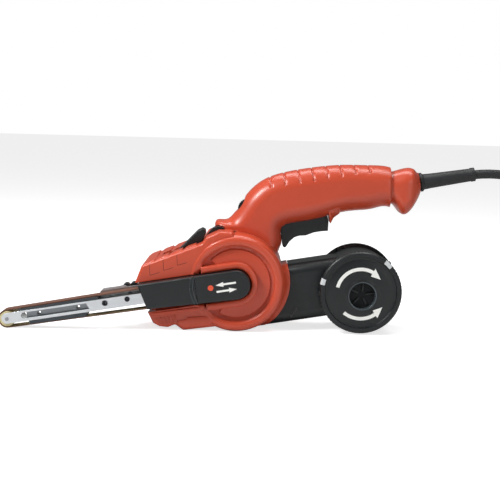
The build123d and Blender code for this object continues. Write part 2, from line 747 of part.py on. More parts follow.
with BuildPart() as tension_spring:
    spring_length = -31.0 - tab_rear_x
    add(coil_spring(2.8, 0.8, spring_length - 1.0, 8, (tab_rear_x + 0.5, -28.5, 9), (1, 0, 0)))

# ---------------------------------------------------------------- motor
rotor_end_y = rear_bearing_y + rear_bearing_width - 0.5
with BuildPart() as motor_shaft:
    add(turned([
        (0, belt_near_y - 0.7), (shaft_radius, belt_near_y - 0.7), (shaft_radius, rear_bearing_y - 1),
        (rear_journal_radius, rear_bearing_y - 1), (rear_journal_radius, rotor_end_y), (0, rotor_end_y),
    ]))


def bearing_rings(bore, outside, near_y, width):
    """Outer and inner ring of a closed ball bearing."""
    parting = bore + (outside - bore) * 0.32
    far_y = near_y + width
    outer_ring = [(parting + 0.1, near_y), (outside, near_y), (outside, far_y), (parting + 0.1, far_y)]
    inner_ring = [(bore, near_y), (parting, near_y), (parting, far_y), (bore, far_y)]
    return turned(outer_ring), turned(inner_ring)


front_rings = bearing_rings(shaft_radius, front_bearing_radius, front_bearing_y, front_bearing_width)
rear_rings = bearing_rings(rear_journal_radius, rear_bearing_radius, rear_bearing_y, rear_bearing_width)
with BuildPart() as fan:
    add(turned([
        (shaft_radius, fan_near_y), (10, fan_near_y), (10, fan_far_y - 1.2), (fan_radius, fan_far_y - 1.2),
        (fan_radius, fan_far_y), (shaft_radius, fan_far_y),
    ]))
    with BuildSketch(side_plane(fan_far_y - 1)):
        with PolarLocations((fan_radius + 8) / 2, 11):
            Rectangle(fan_radius - 10, 1.2)
    extrude(amount=fan_far_y - 1 - fan_near_y)
slot_count = 12
slot_circle = armature_radius - 4
with BuildPart() as armature_core:
    with BuildSketch(side_plane(stator_far_y)):
        Circle(armature_radius)
        Circle(shaft_radius, mode=Mode.SUBTRACT)
        with PolarLocations(slot_circle, slot_count):
            Circle(2.4, mode=Mode.SUBTRACT)
    extrude(amount=stator_far_y - stator_near_y)
with BuildPart() as armature_windings:
    with BuildSketch(side_plane(stator_far_y + 2)):
        with PolarLocations(slot_circle, slot_count):
            Circle(2.3)
    extrude(amount=stator_far_y - stator_near_y + 4)
    for ring_near_y in (stator_near_y - 4, stator_far_y + 1):
        ring_far_y = ring_near_y + 3
        add(turned([(9, ring_near_y), (19.4, ring_near_y), (19.4, ring_far_y), (9, ring_far_y)]))
with BuildPart() as commutator:
    with BuildSketch(side_plane(commutator_far_y)):
        Circle(commutator_radius)
        Circle(shaft_radius, mode=Mode.SUBTRACT)
        with PolarLocations(commutator_radius, slot_count):
            Rectangle(2, 0.5, mode=Mode.SUBTRACT)
    extrude(amount=commutator_far_y - commutator_near_y)

bore_radius = armature_radius + air_gap
shoe_radius = bore_radius + 3
yoke_radius = stator_radius - 5
neck_half = 8.0
with BuildPart() as stator_core:
    with BuildSketch(side_plane(stator_far_y)):
        Circle(shoe_radius)
        Rectangle(100, 24, mode=Mode.SUBTRACT)
        Rectangle(2 * neck_half, 2 * yoke_radius + 2)
        Circle(bore_radius, mode=Mode.SUBTRACT)
        with BuildSketch(side_plane(stator_far_y), mode=Mode.PRIVATE) as yoke:
            Circle(stator_radius)
            Circle(yoke_radius, mode=Mode.SUBTRACT)
        add(yoke.sketch_local)
    extrude(amount=stator_far_y - stator_near_y)
with BuildPart() as field_coils:
    for side in (-1, 1):
        heights = sorted((side * (shoe_radius + 0.4), side * (shoe_radius + 2.6)))
        winding_near_y = stator_near_y - coil_overhang
        winding_far_y = stator_far_y + coil_overhang
        coil_half = neck_half + 6.4
        winding_low = (-coil_half, winding_near_y, heights[0])
        add(block(winding_low, (coil_half, winding_far_y, heights[1])))
        window_low = (-neck_half - 0.3, stator_near_y - 0.3, heights[0] - 1)
        window_high = (neck_half + 0.3, stator_far_y + 0.3, heights[1] + 1)
        add(block(window_low, window_high), mode=Mode.SUBTRACT)

brush_near_y = commutator_near_y + 2
brush_far_y = commutator_far_y - 2
with BuildPart() as brush_holders:
    add(block((13, brush_near_y - 1, -4.5), (holder_outer_x, brush_far_y + 1, 4.5)))
    add(block((12, brush_near_y - 0.05, -2.6), (36.5, brush_far_y + 0.05, 2.6)), mode=Mode.SUBTRACT)
    mirror(about=Plane.YZ)
with BuildPart() as brushes:
    add(block((commutator_radius + free, brush_near_y, -2.5), (21, brush_far_y, 2.5)))
    mirror(about=Plane.YZ)
with BuildPart() as brush_springs:
    brush_middle_y = (brush_near_y + brush_far_y) / 2
    add(coil_spring(1.9, 0.5, 14.4, 9, (21.5, brush_middle_y, 0), (1, 0, 0)))
    mirror(about=Plane.YZ)

# ---------------------------------------------------------------- handle's working parts
with BuildPart() as trigger:
    with BuildSketch(side_plane(trigger_half_width)) as trigger_outline:
        with BuildLine():
            Polyline(
                (86.6, 29.7), (80.2, 30.2), (73.7, 30.1), (66.5, 28.5), (60.6, 29.1), (56.1, 28.3),
                (51.3, 25.2), (47.4, 20.8), (45.6, 20.7), (44.7, 22.7), (45.0, 33.6), (45.8, 38.0),
                (47.5, 43.3), (76.0, 44.2), (79.5, 50.2), (84.0, 50.4), (87.6, 45.6), (88.2, 37.6),
                close=True,
            )
        make_face()
        fillet(trigger_outline.vertices(), 0.5)
    extrude(amount=2 * trigger_half_width)
    fillet(trigger.faces().filter_by(Axis.Y).edges(), 0.45)
    add(rod(trigger_pin_radius + running, -60, 60, *trigger_pivot), mode=Mode.SUBTRACT)
with BuildPart() as trigger_pin:
    add(rod(trigger_pin_radius, -12.5, 12.5, *trigger_pivot))
with BuildPart() as switch_body:
    add(block((switch_front_x, -9, switch_low), (switch_rear_x, 9, switch_top)))
    with BuildSketch(Plane.XY.offset(switch_low)):
        with Locations((plunger_x, 0)):
            Circle(plunger_radius + running)
    extrude(amount=10, mode=Mode.SUBTRACT)
    with BuildSketch(Plane.XY.offset(switch_top)):
        with Locations((switch_front_x + 5, 0), (switch_rear_x - 5, 0)):
            Rectangle(1, 6)
    extrude(amount=4)
with BuildPart() as switch_plunger:
    with BuildSketch(Plane.XY.offset(plunger_low)):
        with Locations((plunger_x, 0)):
            Circle(3.6)
    extrude(amount=1.6)
    with BuildSketch(Plane.XY.offset(plunger_low)):
        with Locations((plunger_x, 0)):
            Circle(plunger_radius)
    extrude(amount=switch_low - plunger_low + 7)
with BuildPart() as plunger_spring:
    spring_low = plunger_low + 1.6 + 0.4
    add(coil_spring(2.8, 0.6, switch_low - spring_low - 0.5, 3, (plunger_x, 0, spring_low), (0, 0, 1)))
with BuildPart() as speed_dial:
    with BuildSketch(side_plane(dial_half_width)):
        with Locations(dial_centre):
            Circle(dial_radius)
            with PolarLocations(dial_radius, 30):
                Circle(0.45, mode=Mode.SUBTRACT)
    extrude(amount=2 * dial_half_width)
    add(rod(dial_stub_radius, -10, 10, *dial_centre))
with BuildPart() as speed_board:
    add(block((36, -11, 53), (37.6, 11, 75)))
    add(block((37.6, -6, 58), (43, 6, 70)))
with BuildPart() as cord_clamp:
    add(block((136.5, -15, guard_z - cord_radius), (142.5, 15, guard_z + 7.4)))
    add(rod_x(cord_radius + fit, 130, 150, 0, guard_z), mode=Mode.SUBTRACT)
    slot_half = cord_radius + fit
    add(block((130, -slot_half, 40), (150, slot_half, guard_z)), mode=Mode.SUBTRACT)
    with BuildSketch(Plane.XY.offset(50)):
        with Locations(*clamp_screw_places):
            Circle(clamp_screw_radius)
    extrude(amount=30, mode=Mode.SUBTRACT)
with BuildPart() as clamp_screws:
    with BuildSketch(Plane.XY.offset(50)):
        with Locations(*clamp_screw_places):
            Circle(clamp_screw_radius)
    extrude(amount=guard_z + 8 - 50)
    with BuildSketch(Plane.XY.offset(guard_z + 7.4)):
        with Locations(*clamp_screw_places):
            Circle(2.6)
    extrude(amount=2)
with BuildPart() as case_screw_set:
    for boss_x, boss_z, face_y, sink in case_screws:
        add(rod(screw_radius, face_y - sink - screw_length, face_y - sink + 1, boss_x, boss_z))
        add(rod(screw_head_radius, face_y - sink, face_y - sink + 2.2, boss_x, boss_z))

# ---------------------------------------------------------------- dust unit
inner_step = -spigot_step - duct_wall
canister_floor_y = canister_far_y - canister_wall
canister_bore = canister_radius - canister_wall
canister_inside = rod(canister_bore, -60, canister_floor_y, canister_x, canister_z)
with BuildPart() as dust_duct:
    add(duct_bar(0, 20, canister_x) - rod(socket_radius + free, -80, 80))
    add(duct_bar(-spigot_step, 20, canister_x) - rod(drum_radius + 0.5, -80, 80))
    add(duct_bar(inner_step, 10, canister_x + 1), mode=Mode.SUBTRACT)
    add(rod(canister_radius, -80, 80, canister_x, canister_z), mode=Mode.SUBTRACT)
    flange_room = rod(canister_flange_radius, canister_far_y - 5, 80, canister_x, canister_z)
    add(flange_room, mode=Mode.SUBTRACT)
with BuildPart() as dust_canister:
    add(rod(canister_radius, canister_near_y + 2.5, canister_far_y, canister_x, canister_z))
    add(rod(canister_flange_radius, canister_far_y - 5, canister_far_y, canister_x, canister_z))
    flange_edges = dust_canister.edges().filter_by(GeomType.CIRCLE).sort_by(Axis.Y)
    fillet(flange_edges[-1], 1.5)
    add(canister_inside, mode=Mode.SUBTRACT)
    add(duct_bar(inner_step, 10, canister_x), mode=Mode.SUBTRACT)
port_drop = 3.0
port_x = canister_x + 1.0
port_z = canister_z - port_drop
with BuildPart() as canister_cap:
    skirt_inside = canister_radius + free
    near = canister_near_y
    for angle in (38, 172):
        lug_x = canister_x + (canister_cap_radius - 0.3) * cos(radians(angle))
        lug_z = canister_z + (canister_cap_radius - 0.3) * sin(radians(angle))
        add(rod(1.6, near + 1.5, near + 7, lug_x, lug_z))
    add(rod(skirt_inside, near - 1, near + 20, canister_x, canister_z), mode=Mode.SUBTRACT)
    add(turned([
        (0, near + 1.0), (11, near + 0.7), (24, near + 1.2), (30.5, near + 2.2), (31.2, near),
        (canister_cap_radius - 1, near), (canister_cap_radius, near + 1),
        (canister_cap_radius, near + cap_depth), (skirt_inside, near + cap_depth),
        (skirt_inside, near + 2.2), (32, near + 2.2), (31.9, near + 3.8),
        (24, near + 3.2), (0, near + 3.0),
    ], canister_x, canister_z))
    add(rod(port_radius + 1.6, near + 0.2, near + 7, port_x, port_z))
    add(rod(port_radius, near - 5, near + 20, port_x, port_z), mode=Mode.SUBTRACT)
with BuildPart() as filter_cup:
    add(rod(21, near + 9, canister_far_y - canister_wall, canister_x, canister_z))
    add(rod(19, near + 11, canister_far_y - canister_wall - 2, canister_x, canister_z), mode=Mode.SUBTRACT)
with BuildPart() as dust_seal:
    seal_radius = canister_radius - canister_wall
    add(rod(seal_radius, near + 4.0, near + 6.0, canister_x, canister_z))
    add(rod(seal_radius - 1.6, near, near + 8, canister_x, canister_z), mode=Mode.SUBTRACT)

# ---------------------------------------------------------------- cord guard
guard_bore = cord_radius + 0.1
with BuildPart() as cord_guard:
    with BuildSketch(Plane.XZ):
        with BuildLine():
            Polyline(*[(x, guard_z + radius) for x, radius in (
                (guard_root_x, guard_bore), (guard_root_x, guard_root_radius),
                (guard_flange_x, guard_root_radius), (guard_flange_x, guard_root_radius + 1.4),
                (guard_flange_x + 1.8, guard_root_radius + 1.4), (guard_flange_x + 2.8, guard_root_radius),
                (guard_flange_x + 9, guard_root_radius - 0.4), (guard_end_x - 4, guard_end_radius),
                (guard_end_x - 3.4, guard_end_radius + 0.5), (guard_end_x, guard_end_radius + 0.4),
                (guard_end_x, guard_bore),
            )], close=True)
        make_face()
    revolve(axis=Axis((0, 0, guard_z), (1, 0, 0)))

with BuildPart() as inner_lead:
    add(rod_x(cord_radius, 128.0, cord_start_x, 0, guard_z))

# ---------------------------------------------------------------- standing on the bench
tool = {
    "housing_left": housing_left, "housing_right": housing_right, "front_shroud": front_shroud,
    "drive_cover": drive_cover, "belt": belt, "drive_roller": drive_roller,
    "nose_roller": nose_roller, "arm_plate_near": arm_plate_near, "arm_plate_far": arm_plate_far,
    "nose_axle": nose_axle, "guide_pin": guide_pin, "upper_platen": upper_platen,
    "lower_platen": lower_platen, "guide_bar": guide_bar, "guide_screws": guide_screws,
    "tracking_bracket": tracking_bracket, "lever_link": lever_link, "tracking_knob": tracking_knob,
    "tracking_screw": tracking_screw, "tension_lever": tension_lever, "lever_pin": lever_pin,
    "lever_catch": lever_catch, "tension_spring": tension_spring, "motor_shaft": motor_shaft,
    "fan": fan, "armature_core": armature_core, "armature_windings": armature_windings,
    "commutator": commutator, "stator_core": stator_core, "field_coils": field_coils,
    "brush_holders": brush_holders, "brushes": brushes, "brush_springs": brush_springs,
    "trigger": trigger, "trigger_pin": trigger_pin, "switch_body": switch_body,
    "switch_plunger": switch_plunger, "plunger_spring": plunger_spring, "speed_dial": speed_dial,
    "speed_board": speed_board, "cord_clamp": cord_clamp, "clamp_screws": clamp_screws,
    "case_screws": case_screw_set, "dust_duct": dust_duct, "dust_canister": dust_canister,
    "canister_cap": canister_cap, "filter_cup": filter_cup, "dust_seal": dust_seal,
    "cord_guard": cord_guard, "inner_lead": inner_lead,
}
pieces = {name: builder.part for name, builder in tool.items()}
pieces["front_bearing_outer"], pieces["front_bearing_inner"] = front_rings
pieces["rear_bearing_outer"], pieces["rear_bearing_inner"] = rear_rings

# Turned to stand, then moved so that the origin is under the middle of the tool.
stand = Rotation(0, -degrees(tilt), 0)
pieces = {name: stand * shape for name, shape in pieces.items()}
boxes = [shape.bounding_box() for shape in pieces.values()]
middle_x = (min(box.min.X for box in boxes) + max(box.max.X for box in boxes)) / 2
middle_y = (min(box.min.Y for box in boxes) + max(box.max.Y for box in boxes)) / 2
lowest_z = min(box.min.Z for box in boxes)
home = Pos(-middle_x, -middle_y, -lowest_z)
pieces = {name: home * shape for name, shape in pieces.items()}


def on_bench(x, z, y=0.0):
    """Where a point of the tool's own frame comes to lie on the bench."""
    return (home * stand * Pos(x, y, z)).position


# ---------------------------------------------------------------- cord, on the bench
def cord_tube_along(points, radius=cord_radius):
    """A round tube along straight runs joined by the largest arcs that they allow."""
    points = [Vector(point) for point in points]
    radii = []
    for before, corner, after in zip(points, points[1:], points[2:]):
        run_in, run_out = corner - before, after - corner
        shorter = min(run_in.length, run_out.length)
        radii.append(0.45 * shorter / tan(radians(run_in.get_angle(run_out) / 2)))
    print("cord radii", [round(radius) for radius in radii])
    with BuildPart() as tube:
        with BuildLine():
            path = FilletPolyline(*points, radius=radii)
        with BuildSketch(Plane(origin=path @ 0, z_dir=path % 0)):
            Circle(radius)
        sweep(path=path)
    full_volume = pi * radius ** 2 * path.length
    print("cord length", round(path.length), "volume ratio", tube.part.volume / full_volume)
    return tube.part


coil_height = 3 * 2 * cord_radius
coil_low_z = 1.4
coil_outer_turn = coil_mean_radius + cord_radius
coil_centre = (coil_x, coil_near_y + coil_outer_turn)
tail_y = coil_centre[1] + coil_outer_turn
tail_z = coil_low_z + coil_height - cord_radius
cord_points = [
    on_bench(cord_start_x, guard_z), on_bench(240.0, guard_z), (256.3, cord_side_y, 133.2),
    (288.1, -3.0, 101.4), (303.6, -8.0, 53.9), (328.0, -14.0, 24.8), (360.9, -18.5, 10.1),
    (coil_x, coil_near_y, coil_low_z + cord_radius),
]
tail_points = [
    (coil_x, tail_y, tail_z), (372.0, tail_y, 21.2), (352.0, tail_y, plug_axis_z),
    (plug_boot_x - 8.0, tail_y, plug_axis_z),
]
cord_tube = cord_tube_along(cord_points)
cord_tail = cord_tube_along(tail_points)


def coil_ring(grow):
    """The wound coil's outer shape, larger all round by grow."""
    with BuildPart() as ring:
        with BuildSketch(Plane.XY.offset(coil_low_z - grow)):
            with Locations(coil_centre):
                Circle(coil_mean_radius + 2 * cord_radius + grow)
                Circle(coil_mean_radius - 2 * cord_radius - grow, mode=Mode.SUBTRACT)
        extrude(amount=coil_height + 2 * grow)
        if not grow:
            fillet(ring.edges().filter_by(GeomType.CIRCLE), cord_radius - 0.1)
    return ring.part


with BuildPart() as cord_coil:
    add(coil_ring(0))
    add(cord_tube_along(cord_points, cord_radius + free), mode=Mode.SUBTRACT)
    add(cord_tube_along(tail_points, cord_radius + free), mode=Mode.SUBTRACT)
with BuildPart() as cable_tie:
    tie_x = coil_centre[0] + coil_mean_radius
    tie_low = (tie_x - 20, coil_centre[1] - 2.4, 0)
    tie_high = (tie_x + 20, coil_centre[1] + 2.4, 60)
    add(coil_ring(1.2) & block(tie_low, tie_high))
    add(coil_ring(0), mode=Mode.SUBTRACT)
with BuildPart() as plug_body:
    with BuildSketch(Plane.XZ.offset(-tail_y)):
        with BuildLine():
            Polyline(*[(plug_boot_x - run, plug_axis_z + radius) for run, radius in (
                (0, cord_radius + 0.1), (0, 5.6), (18, 7.4), (24, 9.0), (33, 17.4), (36, plug_radius),
                (50, plug_radius), (52, plug_radius - 2), (52, 0), (9, 0), (9, cord_radius + 0.1),
            )], close=True)
        make_face()
    revolve(axis=Axis((0, tail_y, plug_axis_z), (1, 0, 0)))
with BuildPart() as plug_pins:
    for side in (-1, 1):
        pin_y = tail_y + side * plug_pin_spacing / 2
        add(rod_x(plug_pin_radius, plug_face_x - plug_pin_length, plug_face_x, pin_y, plug_axis_z))
    fillet(plug_pins.faces().sort_by(Axis.X)[:2].edges(), 1.2)

pieces["cord_tube"] = cord_tube
pieces["cord_coil"] = cord_coil.part
pieces["cord_tail"] = cord_tail
pieces["cable_tie"] = cable_tie.part
pieces["plug_body"] = plug_body.part
pieces["plug_pins"] = plug_pins.part
for name, shape in pieces.items():
    shape.label = name
    export_step(shape, f"parts/{name}.step")
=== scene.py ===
from math import atan2, cos, hypot, pi, radians, sin

import bmesh
import bpy
from mathutils import Matrix, Vector


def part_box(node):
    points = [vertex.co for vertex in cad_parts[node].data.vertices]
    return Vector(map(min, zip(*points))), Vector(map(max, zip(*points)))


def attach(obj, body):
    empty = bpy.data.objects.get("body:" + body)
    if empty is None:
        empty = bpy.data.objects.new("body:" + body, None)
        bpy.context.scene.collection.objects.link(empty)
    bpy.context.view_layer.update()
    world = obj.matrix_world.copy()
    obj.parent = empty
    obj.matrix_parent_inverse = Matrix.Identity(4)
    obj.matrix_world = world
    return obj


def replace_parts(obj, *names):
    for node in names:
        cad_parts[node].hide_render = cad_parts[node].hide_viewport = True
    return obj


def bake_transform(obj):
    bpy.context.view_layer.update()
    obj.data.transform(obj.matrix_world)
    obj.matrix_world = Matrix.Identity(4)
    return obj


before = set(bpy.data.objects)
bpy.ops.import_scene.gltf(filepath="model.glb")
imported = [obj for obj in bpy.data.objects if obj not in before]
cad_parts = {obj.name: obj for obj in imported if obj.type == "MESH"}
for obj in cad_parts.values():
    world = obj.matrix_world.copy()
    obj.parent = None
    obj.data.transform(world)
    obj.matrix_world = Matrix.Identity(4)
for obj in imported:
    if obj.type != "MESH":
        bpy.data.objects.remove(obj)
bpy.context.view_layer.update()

# ------------------------------------------------------------------ housing halves
# The clamshell is injection-moulded ABS, screwed together along the middle of the handle:
# motor barrel, handle, front grip and the lip round the belt channel in one colour.  The
# mould's fine spark texture breaks up the light, and every outside edge is softly rounded.
MM = 0.001


def middle(node):
    """The middle of a CAD node's box."""
    low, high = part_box(node)
    return (low + high) / 2


# The tool's own frame, in millimetres: origin on the motor axis, +X from the nose to the
# motor, +Y away from the belt side.  The belt runs 44 mm to the near side of its middle.
BELT_Y = -44.0
motor, nose = middle("motor_shaft"), middle("nose_axle")
tilt = atan2(motor.z - nose.z, motor.x - nose.x)
origin = Vector((motor.x, middle("belt").y - BELT_Y * MM, motor.z))
TOOL = Matrix.Translation(origin) @ Matrix.Rotation(-tilt, 4, "Y") @ Matrix.Scale(MM, 4)


def linear(hex_colour):
    """sRGB hex to the linear RGBA that the shaders want."""
    values = [int(hex_colour[i:i + 2], 16) / 255 for i in (1, 3, 5)]
    curve = [v / 12.92 if v <= 0.04045 else ((v + 0.055) / 1.055) ** 2.4 for v in values]
    return (*curve, 1.0)


def add(tree, kind, inputs=(), **settings):
    """Adds a node with its settings; inputs maps a socket's name or number to a value or a socket."""
    node = tree.nodes.new(kind)
    for name, value in settings.items():
        setattr(node, name, value)
    for name, value in dict(inputs).items():
        if isinstance(value, bpy.types.NodeSocket):
            tree.links.new(value, node.inputs[name])
        else:
            node.inputs[name].default_value = value
    return node


def moulded_plastic(name, colour, darker, roughness, grain_mm, grain_strength, edge_mm):
    """Moulded plastic: a little colour drift, a spark-eroded grain, softly rounded edges."""
    material = bpy.data.materials.new(name)
    material.use_nodes = True
    tree = material.node_tree
    shader = tree.nodes["Principled BSDF"]
    place = add(tree, "ShaderNodeTexCoord").outputs["Object"]
    drift = add(tree, "ShaderNodeTexNoise", {"Vector": place, "Scale": 18.0, "Detail": 3.0})
    tints = {0: drift.outputs[0], 6: linear(colour), 7: linear(darker)}
    shade = add(tree, "ShaderNodeMix", tints, data_type="RGBA")
    grain = add(tree, "ShaderNodeTexNoise", {"Vector": place, "Scale": 1 / (grain_mm * MM), "Detail": 2.0})
    band = {0: grain.outputs[0], 3: roughness - 0.05, 4: roughness + 0.07}
    polish = add(tree, "ShaderNodeMapRange", band)
    edge = add(tree, "ShaderNodeBevel", {"Radius": edge_mm * MM}, samples=6)
    relief = {"Strength": grain_strength, "Distance": 0.05 * MM, "Height": grain.outputs[0]}
    bump = add(tree, "ShaderNodeBump", {**relief, "Normal": edge.outputs[0]})
    tree.links.new(shade.outputs[2], shader.inputs["Base Color"])
    tree.links.new(polish.outputs[0], shader.inputs["Roughness"])
    tree.links.new(bump.outputs[0], shader.inputs["Normal"])
    shader.inputs["IOR"].default_value = 1.53
    return material


def finish_nodes(material, *names):
    """Gives CAD nodes a finish in place of the plain one that they come with."""
    for name in names:
        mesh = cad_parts[name].data
        mesh.materials.clear()
        mesh.materials.append(material)


def place_piece(name, mesh_data, body, *materials):
    """Makes an object of a finished mesh and hangs it on its body."""
    piece = bpy.data.objects.new(name, mesh_data)
    bpy.context.collection.objects.link(piece)
    for material in materials:
        mesh_data.materials.append(material)
    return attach(piece, body)


def from_bmesh(name, shape, matrix, crease=35.0):
    """Turns a bmesh in millimetres into a mesh in the row frame, smooth up to that crease angle."""
    bmesh.ops.remove_doubles(shape, verts=shape.verts, dist=1e-4)
    bmesh.ops.recalc_face_normals(shape, faces=shape.faces)
    shape.transform(matrix)
    mesh = bpy.data.meshes.new(name)
    shape.to_mesh(mesh)
    shape.free()
    mesh.shade_smooth()
    mesh.set_sharp_from_angle(angle=radians(crease))
    return mesh


def clean_copy(node, crease=35.0):
    """A merged copy of a CAD node, its creases kept and its curved faces shaded smooth."""
    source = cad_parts[node]
    shape = bmesh.new()
    shape.from_mesh(source.data)
    bmesh.ops.remove_doubles(shape, verts=shape.verts, dist=2e-6)
    mesh = bpy.data.meshes.new(node + "_finished")
    shape.to_mesh(mesh)
    shape.free()
    mesh.shade_smooth()
    mesh.set_sharp_from_angle(angle=radians(crease))
    return mesh


def refinish(node, body, material, crease=35.0):
    """Shows a clean copy of a CAD node in its place, with flat faces that stay flat at their rims."""
    piece = place_piece(node + "_finished", clean_copy(node, crease), body, material)
    flatten = piece.modifiers.new("flat_faces", "WEIGHTED_NORMAL")
    flatten.keep_sharp = True
    flatten.weight = 80
    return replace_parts(piece, node)


orange_abs = moulded_plastic("orange_abs_spark_textured", "#CB4F33", "#B9432A", 0.30, 0.5, 0.3, 0.9)
for half in ("housing_left", "housing_right"):
    refinish(half, "tool", orange_abs, 28.0)


# ------------------------------------------------------------------ ring and disc of the near face
# The barrel's near face carries a rounded ring, and in its dish a flat disc that stands off
# the dish's wall, so that a dark groove runs round between them.  Same orange ABS.
def lathe(name, profile, centre, matrix=TOOL, segments=128, from_angle=0.0, to_angle=2 * pi, sink=0.0):
    """A closed turned shape round Y from (radius, y) points; angles run from +X towards +Z.

    An open one sinks along Y towards both ends, by that much at the ends themselves.
    """
    shape = bmesh.new()
    whole = to_angle - from_angle > 2 * pi - 1e-6
    columns = segments if whole else segments + 1
    grid = []
    for column in range(columns):
        share = column / segments
        angle = from_angle + (to_angle - from_angle) * share
        drop = sink * max(0.0, 1 - min(share, 1 - share) / 0.12) ** 2
        grid.append([
            shape.verts.new((centre[0] + r * cos(angle), y + drop, centre[1] + r * sin(angle)))
            for r, y in profile
        ])
    for column in range(segments):
        near, far = grid[column], grid[(column + 1) % columns]
        for row in range(len(profile)):
            following = (row + 1) % len(profile)
            shape.faces.new((near[row], near[following], far[following], far[row]))
    if not whole:
        shape.faces.new(grid[0])
        shape.faces.new(reversed(grid[-1]))
    return from_bmesh(name, shape, matrix)


def arch(inner, outer, base_y, height, points=14):
    """A low rounded profile between two radii, standing on base_y towards the viewer."""
    centre, half = (inner + outer) / 2, (outer - inner) / 2
    curve = [
        (centre + half * cos(pi * i / points), base_y - height * sin(pi * i / points))
        for i in range(points + 1)
    ]
    return [(outer, base_y + 0.4), *curve, (inner, base_y + 0.4)]


NEAR_FACE_Y, DISH_Y, DISH_RADIUS = -44.0, -40.0, 33.0
ring_mesh = lathe(
    "near_face_ring", arch(DISH_RADIUS + 0.05, 40.4, NEAR_FACE_Y, 1.9), (0, 0),
    from_angle=radians(-136), to_angle=radians(132), sink=2.4,
)
ring = place_piece("near_face_ring", ring_mesh, "tool", orange_abs)
disc_profile = [
    (17.0, DISH_Y + 0.3), (17.0, DISH_Y - 0.9), (28.6, DISH_Y - 1.5), (29.5, DISH_Y - 1.2),
    (29.8, DISH_Y), (29.8, DISH_Y + 0.3),
]
disc_mesh = lathe(
    "dish_disc", disc_profile, (0, 0), from_angle=radians(-128), to_angle=radians(128),
)
disc = place_piece("dish_disc", disc_mesh, "tool", orange_abs)


# ------------------------------------------------------------------ lip crown and lower jaw
# The lip round the belt channel's closed end has a rounded crown.  The jaw under the belt has
# a rounded rail along its top, six short grip ribs and a raised plate at its chin.
RIDGE_SUNK = 0.4                # how far a ridge's foot reaches into the face under it


def with_normals(path):
    """Each point of an open path in X and Z, followed by its unit normal."""
    for i, (x, z) in enumerate(path):
        x0, z0 = path[max(i - 1, 0)]
        x1, z1 = path[min(i + 1, len(path) - 1)]
        run = hypot(x1 - x0, z1 - z0)
        yield x, z, -(z1 - z0) / run, (x1 - x0) / run


def add_slab(shape, outline, near_y, far_y):
    """Adds a flat plate between two levels to a bmesh, from its outline in X and Z."""
    rims = [[shape.verts.new((x, y, z)) for x, z in outline] for y in (near_y, far_y)]
    shape.faces.new(rims[0])
    shape.faces.new(reversed(rims[1]))
    for i in range(len(outline)):
        j = (i + 1) % len(outline)
        shape.faces.new((rims[0][i], rims[1][i], rims[1][j], rims[0][j]))


def ridge(name, path, half_width, height, y, taper, points=10):
    """A rounded orange ridge along a path, lowered into the face at y towards both ends."""
    shape = bmesh.new()
    rows = []
    for i, (x, z, nx, nz) in enumerate(with_normals(path)):
        share = i / (len(path) - 1)
        rise = height * min(1.0, min(share, 1 - share) / taper) ** 0.5
        section = [(half_width, -RIDGE_SUNK)]
        section += [
            (half_width * cos(pi * k / points), rise * sin(pi * k / points)) for k in range(points + 1)
        ]
        section.append((-half_width, -RIDGE_SUNK))
        rows.append([shape.verts.new((x + nx * u, y - h, z + nz * u)) for u, h in section])
    for near, far in zip(rows, rows[1:]):
        for k in range(len(near)):
            following = (k + 1) % len(near)
            shape.faces.new((near[k], near[following], far[following], far[k]))
    shape.faces.new(rows[0])
    shape.faces.new(reversed(rows[-1]))
    place_piece(name, from_bmesh(name, shape, TOOL), "tool", orange_abs)


def jaw_plate(name, outline, proud, rounding):
    """A raised orange plate on the jaw's near face, its edges rounded."""
    shape = bmesh.new()
    add_slab(shape, outline, JAW_Y - proud, JAW_Y + 0.6)
    bmesh.ops.recalc_face_normals(shape, faces=shape.faces)
    bmesh.ops.bevel(shape, geom=list(shape.edges), offset=rounding, segments=3, affect="EDGES", profile=0.5)
    place_piece(name, from_bmesh(name, shape, TOOL), "tool", orange_abs)


LIP_Y, LIP_RADIUS, LIP_START_X = -46.5, 16.2, -27.5
turn_points = [radians(90 - 180 * i / 36) for i in range(37)]
lip_path = [(LIP_START_X - LIP_START_X * i / 8, LIP_RADIUS) for i in range(8)]
lip_path += [(LIP_RADIUS * cos(angle), LIP_RADIUS * sin(angle)) for angle in turn_points]
lip_path += [(LIP_START_X * i / 8, -LIP_RADIUS) for i in range(1, 9)]
ridge("lip_crown", lip_path, 2.6, 1.2, LIP_Y, taper=0.02)
JAW_Y = -43.0
rail_path = [(-76.0 + 46.0 * i / 20, -15.6 - 0.9 * i / 20) for i in range(21)]
ridge("jaw_rail", rail_path, 1.5, 1.0, JAW_Y, taper=0.05)


chin = [
    (-55.5, -27.2), (-50.6, -31.9), (-27.0, -32.6), (-24.5, -30.5), (-28.0, -24.2), (-45.5, -22.6),
    (-47.0, -24.4), (-54.0, -24.2),
]
jaw_plate("chin_plate", chin, 1.0, 0.45)
JAW_RIB_X, JAW_RIB_PITCH = -73.0, 3.1
for index in range(6):
    rib_x = JAW_RIB_X + JAW_RIB_PITCH * index
    rib = [
        (rib_x, -19.4), (rib_x + 1.5, -19.4), (rib_x + 2.1, -25.2 - 0.25 * index),
        (rib_x + 0.6, -25.2 - 0.25 * index),
    ]
    jaw_plate(f"jaw_rib_{index + 1}", rib, 0.7, 0.25)

# ------------------------------------------------------------------ seams of the front grip
# Where the mould's inserts meet, a fine seam runs round each finger step: down from the grip's
# top edge and back along its side.  Its shadow is painted on as a dark hairline strip on the face.
seam_shadow = moulded_plastic("painted_seam_shadow_in_abs", "#5E1E12", "#52190F", 0.6, 0.5, 0.2, 0.05)


def strip(path, width):
    """The outline of a thin strip along an open path in X and Z."""
    half = width / 2
    left = [(x + nx * half, z + nz * half) for x, z, nx, nz in with_normals(path)]
    right = [(x - nx * half, z - nz * half) for x, z, nx, nz in with_normals(path)]
    return left + right[::-1]


